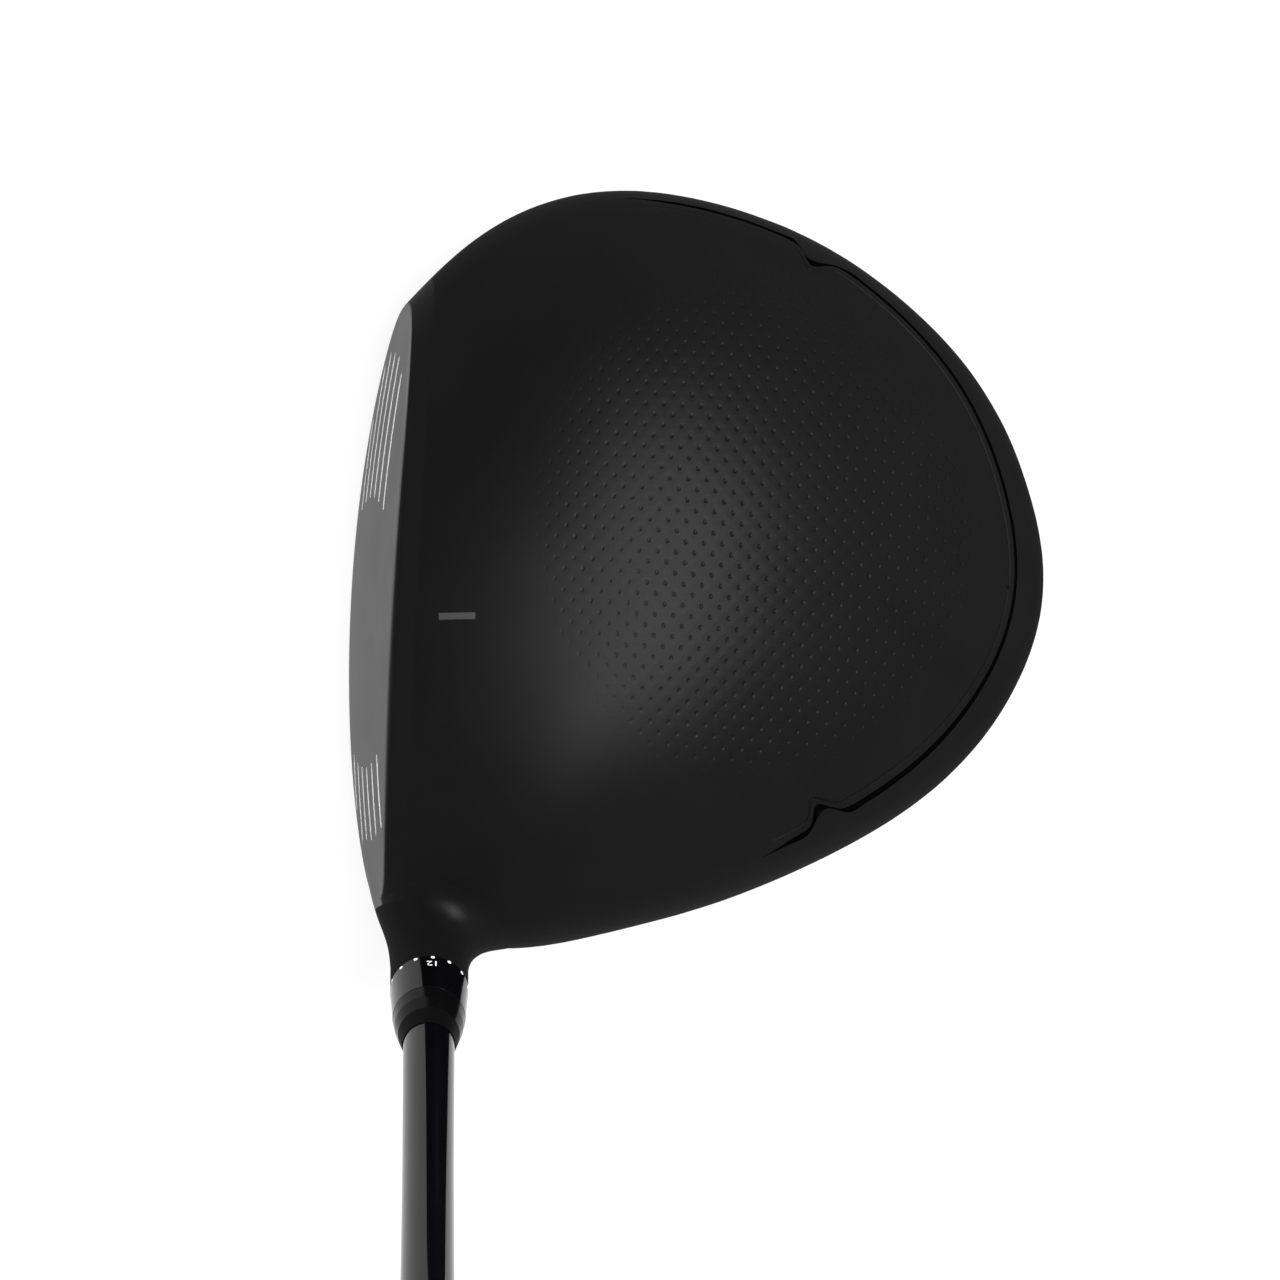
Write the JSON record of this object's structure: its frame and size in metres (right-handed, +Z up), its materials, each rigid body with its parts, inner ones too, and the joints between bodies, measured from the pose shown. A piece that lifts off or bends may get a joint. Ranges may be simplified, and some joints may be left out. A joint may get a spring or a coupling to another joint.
{
  "type": "golf driver",
  "caption": "Right-handed golf driver with a large rounded hollow head, adjustable loft sleeve, screw-in sole weight, tapered black shaft and rubber grip.",
  "frame": {"origin": "Centre of the mouth of the screw port in the sole, on the hosel axis.", "axes": "+Z up with the sole on the ground 9 mm under the origin, +X away from the target behind the face, +Y to the toe. The hosel axis lies in the YZ plane and leans to -Y at a lie of 58.5 degrees."},
  "size_m": [0.1171, 0.7206, 0.992],
  "materials": {
    "head_black": "satin black paint on a cast titanium body",
    "face_grey": "brushed mid-grey titanium",
    "crown_black": "satin black lacquer on a moulded carbon panel with fine dents",
    "ring_black": "satin black anodised aluminium",
    "weight_steel": "turned steel with a plain matt finish",
    "gasket_rubber": "matt black rubber",
    "sleeve_black": "gloss black anodised aluminium with white dots",
    "ferrule_black": "gloss black turned plastic",
    "shaft_black": "gloss black lacquered carbon fibre",
    "screw_steel": "machined steel",
    "washer_steel": "stamped steel",
    "retainer_plastic": "matt nylon",
    "plug_foam": "pale plastic plug",
    "tape": "off-white grip tape",
    "grip_rubber": "matt black moulded rubber",
    "cap_rubber": "matt dark grey moulded rubber"
  },
  "bodies": {
    "club": {"shaft": "shaft_black", "adapter_sleeve": "sleeve_black", "ferrule": "ferrule_black", "tip_plug": "plug_foam", "grip_tape": "tape", "grip_sleeve": "grip_rubber", "grip_cap": "cap_rubber"},
    "head": {"head_body": "head_black", "face_cup": "face_grey", "crown_panel": "crown_black", "rear_ring": "ring_black"},
    "screw_travel": {"screw_washer": "washer_steel", "screw_retainer": "retainer_plastic"},
    "screw": {"hosel_screw": "screw_steel"},
    "weight_travel": {"weight_gasket": "gasket_rubber"},
    "weight": {"rear_weight": "weight_steel"}
  },
  "joints": [
    {"name": "head_release", "type": "slide", "parent": "club", "child": "head", "axis": [0, 0.5225, -0.8526], "range_m": [0, 0.04]},
    {"name": "screw_out", "type": "slide", "parent": "head", "child": "screw_travel", "axis": [0, 0.5225, -0.8526], "range_m": [0, 0.0056]},
    {"name": "screw_turn", "type": "hinge", "parent": "screw_travel", "child": "screw", "pos_m": [0, 0, 0], "axis": [0, 0.5225, -0.8526], "range_deg": [0, 2520]},
    {"name": "weight_out", "type": "slide", "parent": "head", "child": "weight_travel", "axis": [0.2889, 0, -0.9574], "range_m": [0, 0.006]},
    {"name": "weight_turn", "type": "hinge", "parent": "weight_travel", "child": "weight", "pos_m": [0.08, 0.0445, -0.00265], "axis": [0.2889, 0, -0.9574], "range_deg": [0, 2160]}
  ],
  "couplings": [
    {"joint": "screw_turn", "follows": "screw_out", "rad_per_m": 7854},
    {"joint": "weight_turn", "follows": "weight_out", "rad_per_m": 6283.2}
  ]
}
